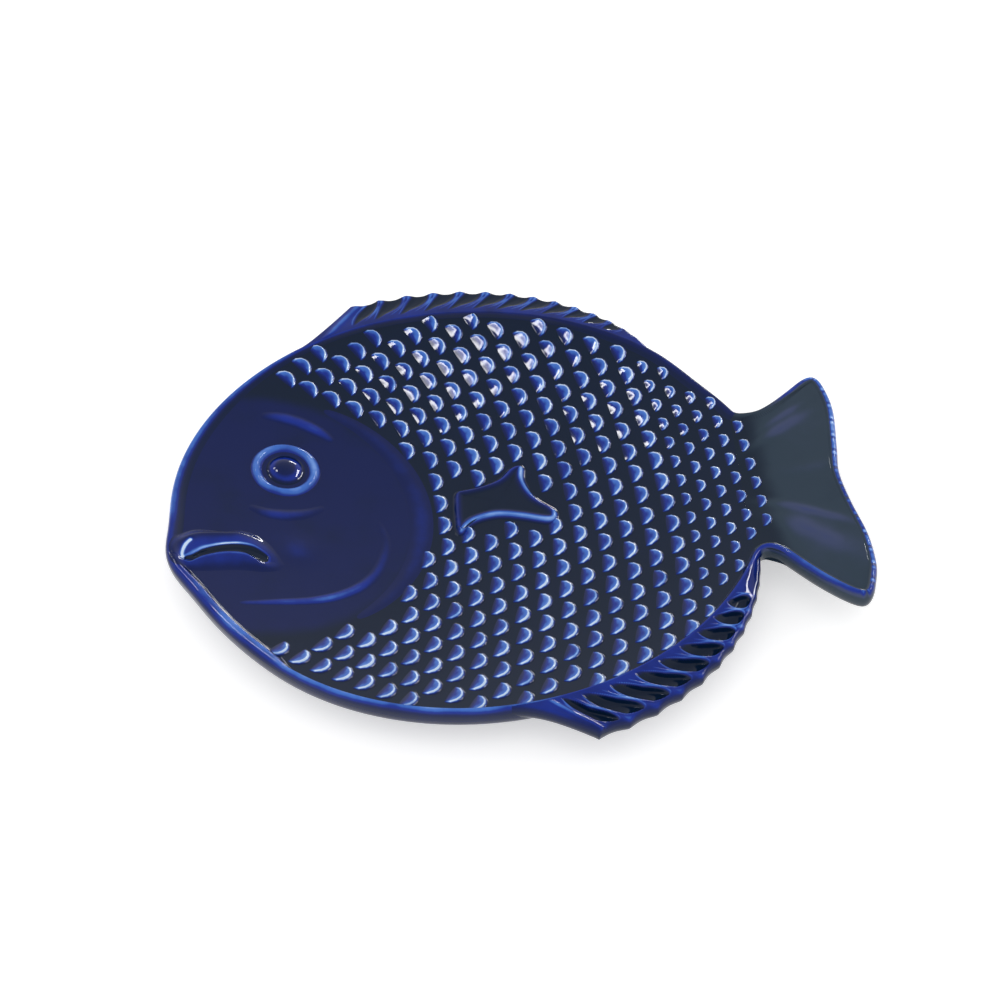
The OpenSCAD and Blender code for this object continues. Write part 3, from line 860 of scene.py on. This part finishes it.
# Lips.
# Two thick rolls of clay pinched together round the mouth and smoothed out over the rim at the nose.
# The glaze breaks pale along the edge of the dark slit between them. A thin line along the upper lip's
# shoulder, the middle of the upper lip's bead and the groove at the front are painted pale as highlights.
UPPER_EDGE = [
    (-110.8, -18.5), (-111.0, -14.5), (-109.4, -9.8), (-105.5, -6.4), (-101, -4.6), (-95.6, -4.6),
    (-90, -4.8), (-84.6, -3.9), (-79, -5.6), (-73.6, -10), (-70, -15.6), (-66.5, -21.8),
]
LOWER_EDGE = [
    (-110.8, -18.5), (-110.2, -22.5), (-107.2, -26), (-102.6, -27), (-98, -26.8), (-92.5, -26.2),
    (-87.5, -25.6), (-82.5, -25.6), (-77.8, -25.9), (-73.5, -25.6), (-69.5, -24.4), (-66.5, -21.8),
]
UPPER_CREST = [
    (-106.2, -20.8), (-104.9, -20), (-102.8, -19), (-100.6, -17.4), (-98.5, -15.9), (-93.7, -13.8),
    (-89, -12.6), (-84.8, -12.3), (-80.4, -13), (-77.2, -14.9), (-74.9, -17.4), (-75.2, -19.9),
]
LOWER_CREST = [
    (-106.2, -20.8), (-105.2, -22.3), (-103, -22.6), (-100.8, -21.2), (-98.4, -19.7), (-92.5, -17.6),
    (-87.6, -16.9), (-83.3, -17.3), (-80.6, -19), (-78.4, -20.5), (-76.6, -20.8), (-75.2, -19.9),
]
UPPER_HEIGHT = [1.3, 1.4, 1.6, 1.9, 2.2, 2.3, 2.3, 2.1, 1.6, 1.0, 0.6, 0.4]
LOWER_HEIGHT = [1.3, 1.3, 1.4, 1.6, 1.8, 2.0, 2.0, 1.9, 1.6, 1.1, 0.7, 0.4]
# A tool mark at the front of the mouth, painted near white along it as a highlight
GROOVE = [(-102.9, -11.6), (-104.4, -13.4), (-105.5, -15.8), (-106.1, -18.4), (-105.9, -20.6)]
groove_depth = 0.45
groove_spread = 1.0
groove_highlight = 1.1
lip_sink = 0.06
lip_depth = 1.4
slit_floor = 0.25
slit_share = 0.35
# The upper lip's steep rise: where along the lip it fades and over what span, where on the way in it is
# highest, and its fall to the slit
bow_fade = 0.55
bow_span = 0.3
bow_top = 0.4
bow_fall = 0.3
# Thinness of the glaze on the lips, and how much paler they are painted on the rolls, on the bead and in the
# slit; the line on the upper lip's shoulder and the middle of the bead are painted highlights
upper_thin = 0.15
shoulder_highlight = 0.1
upper_pale = 0.18
lower_thin = 0.14
lower_lip_pale = 0.15
lip_bead_pale = 0.2
upper_bead_pale = 0.14
middle_bead_highlight = 0.34
slit_pale = 0.5


def clay_face(flat):
    """Height of the clay's upper face with the rim on it, from the way in from the body's edge."""
    angle = body_angle(flat)
    inset = length_of(body_edge(angle, edge_swell)) - length_of(flat)
    width, crest = rim_width(angle), crest_inset(angle)
    tall = np.interp(angle, rim_angle, rim_tall)
    slope = tall * ease((width - inset) / (width - crest))
    roll = tall - rim_outer_drop * (1 - np.sqrt(1 - np.clip(1 - inset / crest, 0, 1) ** 2))
    return bowl_height(flat) + np.where(inset > crest, slope, roll)


def lip_loop(upper, lower, count=90):
    """A closed curve along the upper lip to the corner of the mouth and back along the lower lip."""
    return np.concatenate([smooth_line(upper, count), smooth_line(lower, count)[-2:0:-1]])


def lip_rings(outer=26, inner=9):
    """Loops from the lips' outer edge in to the crest round the slit, and on down to the slit's floor. The
    upper lip rises steeply and slopes down to the slit, the lower lip rises in an S, and both fall into the
    slit."""
    edge, crest = lip_loop(UPPER_EDGE, LOWER_EDGE), lip_loop(UPPER_CREST, LOWER_CREST)
    slit_line = (np.array(UPPER_CREST) + LOWER_CREST) / 2
    middle = lip_loop(slit_line, slit_line)
    tall = lip_loop(np.array(UPPER_HEIGHT)[:, None], np.array(LOWER_HEIGHT)[:, None])[:, 0]
    run = np.arange(len(edge)) / (len(edge) // 2)
    over = np.where(run < 1, np.sin(np.pi * np.clip(run, 0, 1)) ** 0.5, 0)
    over *= 1 - ease((run - bow_fade) / bow_span)
    w = np.linspace(0, 1, outer)[:, None]
    s = np.linspace(0, 1, inner)[1:, None]
    bow = ease(w / bow_top) - bow_fall * ease((w - bow_top) / (1 - bow_top))
    rise = (bow * over + ease(w) * (1 - over)) * (tall + lip_sink) - lip_sink
    sunk = rise[-1] + (slit_floor - rise[-1]) * ease(s)
    floor = middle + slit_share * (crest - middle)
    flat = np.concatenate([
        edge[None], edge + (crest - edge) * w[..., None], crest + (floor - crest) * s[..., None],
    ])
    mark = hump(length_of(flat[..., None, :] - smooth_line(GROOVE, 24)).min(-1), 0, groove_spread)
    mark[0] = 0
    height = np.concatenate([np.full((1, len(edge)), -lip_depth), rise, sunk]) - groove_depth * mark
    rings = lifted(flat, clay_face(flat) + height)
    # The pale line on the upper lip's shoulder and the pale middle of its bead are painted highlights.
    upper_roll = upper_thin + shoulder_highlight * hump(w, 0.2, 0.1) + upper_pale * ease((w - 0.3) / 0.5)
    lower_roll = lower_thin + lower_lip_pale * ease((w - 0.1) / 0.7)
    bead = lip_bead_pale + upper_bead_pale * over + middle_bead_highlight * hump(run, 0.52, 0.16)
    bead = hump(w, 0.95, 0.06) * bead
    roll = upper_roll * over + lower_roll * (1 - over) + bead
    slit = pool_thin + slit_pale * hump(s, 0, 0.16) + 0 * run
    # The groove's near-white line is a painted highlight.
    thin = np.concatenate([0 * roll[:1], roll, slit]) + groove_highlight * mark ** 3
    return rings[None], thin[None]


add_piece("lips", *lip_rings(), nodes=["upper_lip", "lower_lip"])

# Ridges of the head.
# Thin rolls of slip trailed on the leather-hard clay and brushed soft: the brow, the fold under the
# eye, the line of the jaw and the arc of the gill.
BROW = [(-0.68, 0.53), (-0.62, 0.525), (-0.545, 0.5), (-0.473, 0.452), (-0.43, 0.41)]
CHEEK = [(-0.74, 0.085), (-0.68, 0.055), (-0.61, 0.045), (-0.54, 0.055), (-0.48, 0.085)]
JAW = [
    (-0.79, -0.405), (-0.665, -0.395), (-0.545, -0.385), (-0.455, -0.36), (-0.38, -0.315), (-0.325, -0.25),
    (-0.29, -0.16), (-0.28, -0.08), (-0.3, 0.015),
]
gill_angles = np.linspace(-58, 64, 90)
ridge_sink = 0.03
ridge_depth = 0.4
ridge_end = 0.4


def ridge_rings(line, half_width, height, top_thin, rows=13):
    """A bell curve across the ridge, carried along its line and fading out at both ends, closed below the
    well."""
    beside = -right_of(np.gradient(line, axis=0))
    run = np.linspace(0, 1, len(line))
    taper = np.sin(np.pi * run[:, None]) ** 0.7
    side = np.linspace(-1, 1, rows)
    aside = half_width * (ridge_end + (1 - ridge_end) * taper) * side
    flat = (line[:, None] + aside[..., None] * beside[:, None])[None]
    bell = (1 - side ** 2) ** 2 * taper
    along = np.interp(run, np.linspace(0, 1, len(top_thin)), top_thin)[:, None]
    thin = head_thin + (along - head_thin) * bell
    return closed_below(flat, bowl_height(flat), bell, height, ridge_sink, ridge_depth, thin)


head_size = np.array([nose_length, half_depth])
gill_line = head_middle + head_radius * compass(gill_angles)
# Each ridge: its line, half its width, its height and the glaze's thinness along its top
RIDGES = {
    "brow_ridge": (smooth_line(BROW * head_size, 40), 3.6, 0.45, [0.2, 0.34, 0.5, 0.44]),
    "cheek_ridge": (smooth_line(CHEEK * head_size, 40), 3.4, 0.42, [0.24, 0.32, 0.24]),
    "jaw_ridge": (smooth_line(JAW * head_size, 90), 3.0, 0.35, [0.8, 0.58, 0.5, 0.36, 0.26, 0.22]),
    "gill_ridge": (gill_line, 5.0, 0.35, [0.3, 0.27, 0.24, 0.26, 0.32]),
}
for ridge_name, ridge in RIDGES.items():
    add_piece(ridge_name, *ridge_rings(*ridge))

# Scales.
# Staggered half-moon scales, cut into the mould as scoops. Each is flush towards the head and lifts to
# a rounded free edge towards the tail, where the glaze breaks to pale blue and is painted near white,
# partly as a painted highlight.
scale_size = 9.0
column_gap = 8.8
row_gap = 11.1
tail_scale_size = 6.4
tail_column_gap = 6.6
tail_row_gap = 9.9
small_start = 0.718 * rear_length
column_bow = 0.09
column_crowd = 0.004
bow_middle = -0.2 * half_depth
slide_column = 8
slide_share = 0.0055
first_row = 0.3
first_tail_row = -0.14
fan_share = 0.55
scale_rise = 0.16
scale_root = -0.1
scale_middle = 0.4
scale_sink = 0.06
scale_dome = 0.012
side_spread = 0.45
shown_from = 0.03
shown_span = 0.3
rim_room = 1.2
root_room = 1.6
head_room = 1.5
pectoral_room = 0.8
rows_each_way = 12
scale_tip_thin = 0.36
scale_crease = 130
# The pectoral fin's corners, in shares of its length
PECTORAL_CORNERS = np.array([(-0.45, -0.4), (0.5, -0.38), (0.27, 0.42), (-0.45, 0.13)])
FREE_EDGE = np.radians([-116.7, -84, -50, -17, 17, 50, 84, 116.7, 150, 210])
# Each ring in towards the scale's middle: share of the way to its edge, share of the face's height, thinness;
# the near white on the free edge and the fall below it is partly thin glaze and partly a painted highlight
SCALE_STEPS = [
    (1.65, -0.1, 0.0), (1.38, 0.07, 0.03), (1.15, 0.27, 0.36), (1.04, 0.68, 0.98), (0.93, 0.97, 1.0),
    (0.76, 1.0, 0.56),
]


def scale_places(starts, firsts, row_step):
    """Columns of places that bow towards the tail, every second column moved by half a row, kept where a
    scale shows: inside the rim, outside the head's round and clear of the pectoral fin's middle."""
    i = np.arange(len(starts))[:, None]
    j = np.arange(-rows_each_way, rows_each_way + 1)[None]
    y = (j + firsts[:, None] + np.where(i % 2 == 1, 0, 0.5)) * row_step
    x = starts[:, None] - column_bow * (y - bow_middle) ** 2 / half_depth
    places = np.stack([x.ravel(), y.ravel()], 1)
    angle = body_angle(places)
    inset = length_of(body_edge(angle)) - length_of(places)
    at_root = (angle < notch_angles[0]) | (angle > notch_angles[1])
    in_rim = inset > np.where(at_root, root_room, rim_side_width + rim_room)
    off_head = length_of(places - head_middle) > head_radius + head_room
    corners = pectoral_middle + pectoral_length * PECTORAL_CORNERS
    outside = right_of(np.roll(corners, -1, axis=0) - corners)
    gap = ((places[:, None] - corners) * outside).sum(-1).max(1)
    return places[in_rim & off_head & (gap > pectoral_room)]


def scale_rings(places, size):
    """Rings round each scale's middle. The way to its edge is a round free edge and a straight root, the face
    rises evenly from the root, and the rings follow it to the edge and fall to a wide, hollow foot below
    the well."""
    half = size / 2
    from_head = (places - head_middle)[:, None, None]
    turned = fan_share * np.arctan2(from_head[..., 1], from_head[..., 0])
    share, lift, thin = (np.array(column)[None, :, None] for column in zip(*SCALE_STEPS))
    ahead, aside = np.cos(FREE_EDGE), np.sin(FREE_EDGE)
    round_way = -scale_middle * ahead + np.sqrt(1 - (scale_middle * aside) ** 2)
    root_way = np.where(ahead < 0, (scale_root - scale_middle) / np.minimum(ahead, -1e-6), np.inf)
    spread = side_spread + (1 - side_spread) * np.maximum(ahead, 0)
    way = np.minimum(round_way, root_way)[None, None] * (1 + (share - 1) * np.where(share > 1, spread, 1))
    u, v = scale_middle + way * ahead, way * aside
    cos, sin = np.cos(turned), np.sin(turned)

    def placed(along, across, rise):
        """Points at places in half sizes from each scale's start, turned with the fan, at a rise."""
        flat = np.stack([along * cos - across * sin, along * sin + across * cos], -1)
        return on_bowl(places[:, None, None] + half * flat, rise)

    def face(along, across):
        """The face's height at places in half sizes: an even slope up from below the root, a little domed."""
        slope = np.clip((np.minimum(along, 1) - scale_root) / (1 - scale_root), 0, 1)
        dome = scale_dome * ((along - scale_middle) ** 2 + across ** 2)
        return size * (scale_rise * slope - dome) - scale_sink

    rings = placed(u, v, np.where(lift < 0, lift, lift * (face(u, v) + scale_sink) - scale_sink))
    tips = placed(scale_middle, 0, face(scale_middle, 0))[:, 0, 0]
    shown = ease((np.minimum(u, 1) - scale_root - shown_from) / shown_span)
    return rings, pool_thin + thin * shown, tips, scale_tip_thin


column = np.arange((small_start + nose_length - tail_column_gap) // column_gap + 1)
column_start = small_start - (tail_column_gap + column_gap) / 2
column_start -= column_gap * column * (1 - column_crowd * column)
column_first = first_row - slide_share * (column - slide_column) ** 2
places = scale_places(column_start, column_first, row_gap)
add_piece("scales", *scale_rings(places, scale_size), crease=scale_crease)
column = np.arange((rear_length - small_start) // tail_column_gap + 1)
places = scale_places(small_start + tail_column_gap * column, first_tail_row + 0 * column, tail_row_gap)
add_piece("tail_scales", *scale_rings(places, tail_scale_size), crease=scale_crease)

# Floor.
# A white sweep of paper. It shows white to the camera and in reflections, and keeps the platter's shadow.
floor_half = 3.0
paper_white = 0.94
paper_lift = 0.4


def white_paper():
    """Matt white that is lifted to full white for the camera and for reflections by a little light of its
    own."""
    paper = bpy.data.materials.new("white_paper")
    paper.use_nodes = True
    paper.node_tree.nodes.clear()
    add = node_adder(paper.node_tree)[0]
    ray = add("LightPath").outputs
    tooth = add("Bump", [(add("TexNoise", Scale=400.0), "Height")], Strength=0.02)
    matt = add("BsdfDiffuse", [(tooth, "Normal")], Color=(*[paper_white] * 3, 1))
    seen = add("Math", [(ray["Is Camera Ray"], 0), (ray["Is Glossy Ray"], 1)], "MAXIMUM")
    through = add("Math", [(seen, 0), (ray["Is Transmission Ray"], 1)], "MAXIMUM")
    level = add("MapRange", [(through, "Value")], To_Max=paper_lift)
    both = add("AddShader", [(matt, 0), (add("Emission", [(level, "Strength")]), 1)])
    add("OutputMaterial", [(both, "Surface")])
    return paper


floor_mesh = bpy.data.meshes.new("floor")
floor_corners = floor_half * np.array([(-1, -1, 0), (1, -1, 0), (1, 1, 0), (-1, 1, 0)])
floor_mesh.from_pydata(floor_corners.tolist(), [], [(0, 1, 2, 3)])
floor_mesh.materials.append(white_paper())
floor = bpy.data.objects.new("floor", floor_mesh)
bpy.context.scene.collection.objects.link(floor)

# Light.
# A white room, dimmer overhead, and a broad lamp over the camera light the clay evenly. Two soft boxes behind
# the fish's back, a long strip light on its right and a low one behind it show in the gloss alone.
look_at = bowl_axis + Vector((0.0143, 0.0082, 0))
look_at.z = well_bottom * MM
# How far from the lamp's middle its dimmer part ends and its full frame starts, in shares of its width
lamp_frame = (0.24, 0.36)


def soft_box(name, azimuth, elevation, distance, width, height, radiance,
             in_gloss=True, roll=0.0, middle=1.0):
    """A lamp placed by its bearing from the platter, clockwise from +Y, its elevation and its distance,
    turned to face it and rolled about its own axis; its middle can be dimmer than its frame. A lamp in the
    gloss is seen only as a highlight, and the other kind lights the clay and shows no highlight."""
    lamp = bpy.data.lights.new(name, "AREA")
    lamp.shape = "RECTANGLE"
    lamp.size, lamp.size_y = width, height
    lamp.energy = radiance * math.pi * width * height
    lamp.use_nodes = True
    add, wire = node_adder(lamp.node_tree)
    from_middle = add("VectorMath", [(add("NewGeometry").outputs["Parametric"], 0)], "SUBTRACT")
    from_middle.inputs[1].default_value = (0.5, 0.5, 0)
    away = add("VectorMath", [(from_middle, 0)], "ABSOLUTE")
    sides = add("SeparateXYZ", [(away, "Vector")]).outputs
    farther = add("Math", [(sides["X"], 0), (sides["Y"], 1)], "MAXIMUM")
    inner, frame_start = lamp_frame
    level = add("MapRange", [(farther, "Value")], From_Min=inner, From_Max=frame_start, To_Min=middle)
    wire(lamp.node_tree.nodes["Emission"], [(level, "Strength")])
    holder = bpy.data.objects.new(name, lamp)
    bearing, rise = math.radians(azimuth), math.radians(elevation)
    way = Vector((math.sin(bearing) * math.cos(rise), math.cos(bearing) * math.cos(rise), math.sin(rise)))
    holder.location = look_at + distance * way
    turn = (-way).to_track_quat("-Z", "Y") @ Quaternion((0, 0, 1), math.radians(roll))
    holder.rotation_euler = turn.to_euler()
    holder.visible_camera = False
    holder.visible_glossy = in_gloss
    holder.visible_diffuse = not in_gloss
    bpy.context.scene.collection.objects.link(holder)


# Each lamp: bearing and elevation in degrees, distance, width and height in metres, and radiance
soft_box("front_light", 190, 58, 2.0, 1.6, 1.6, 1.1, in_gloss=False)
soft_box("left_box", -50.5, 60.5, 1.0, 0.08, 0.16, 42.0, roll=-21, middle=0.3)
soft_box("small_box", -42.4, 45, 1.0, 0.08, 0.09, 42.0, roll=-25, middle=0.05)
soft_box("right_strip", 66, 36, 1.0, 0.1, 0.62, 36.0, roll=58)
soft_box("side_strip", 21, 13, 1.2, 0.3, 0.07, 36.0)

room = bpy.data.worlds.new("white_room")
bpy.context.scene.world = room
room.use_nodes = True
add_to_room, wire_room = node_adder(room.node_tree)
heading = add_to_room("SeparateXYZ", [(add_to_room("TexCoord").outputs["Generated"], "Vector")]).outputs["Z"]
room_level = add_to_room("MapRange", [(heading, "Value")],
                         From_Min=0.42, From_Max=0.94, To_Min=1.0, To_Max=0.62)
room_light = room.node_tree.nodes["Background"]
room_light.inputs["Color"].default_value = (1, 1, 1, 1)
wire_room(room_light, [(room_level, "Strength")])

# Camera.
# The photograph's view: from the fish's belly side, 47 degrees up, a long lens at 0.9 m.
camera_offset = Vector((-0.0684, -0.6100, 0.6582))
lens = bpy.data.cameras.new("camera")
lens.lens = 84.6
lens.sensor_width = 36.0
camera = bpy.data.objects.new("camera", lens)
camera.location = look_at + camera_offset
camera.rotation_euler = (-camera_offset).to_track_quat("-Z", "Y").to_euler()
bpy.context.scene.collection.objects.link(camera)
bpy.context.scene.camera = camera
bpy.context.scene.view_settings.view_transform = "Standard"
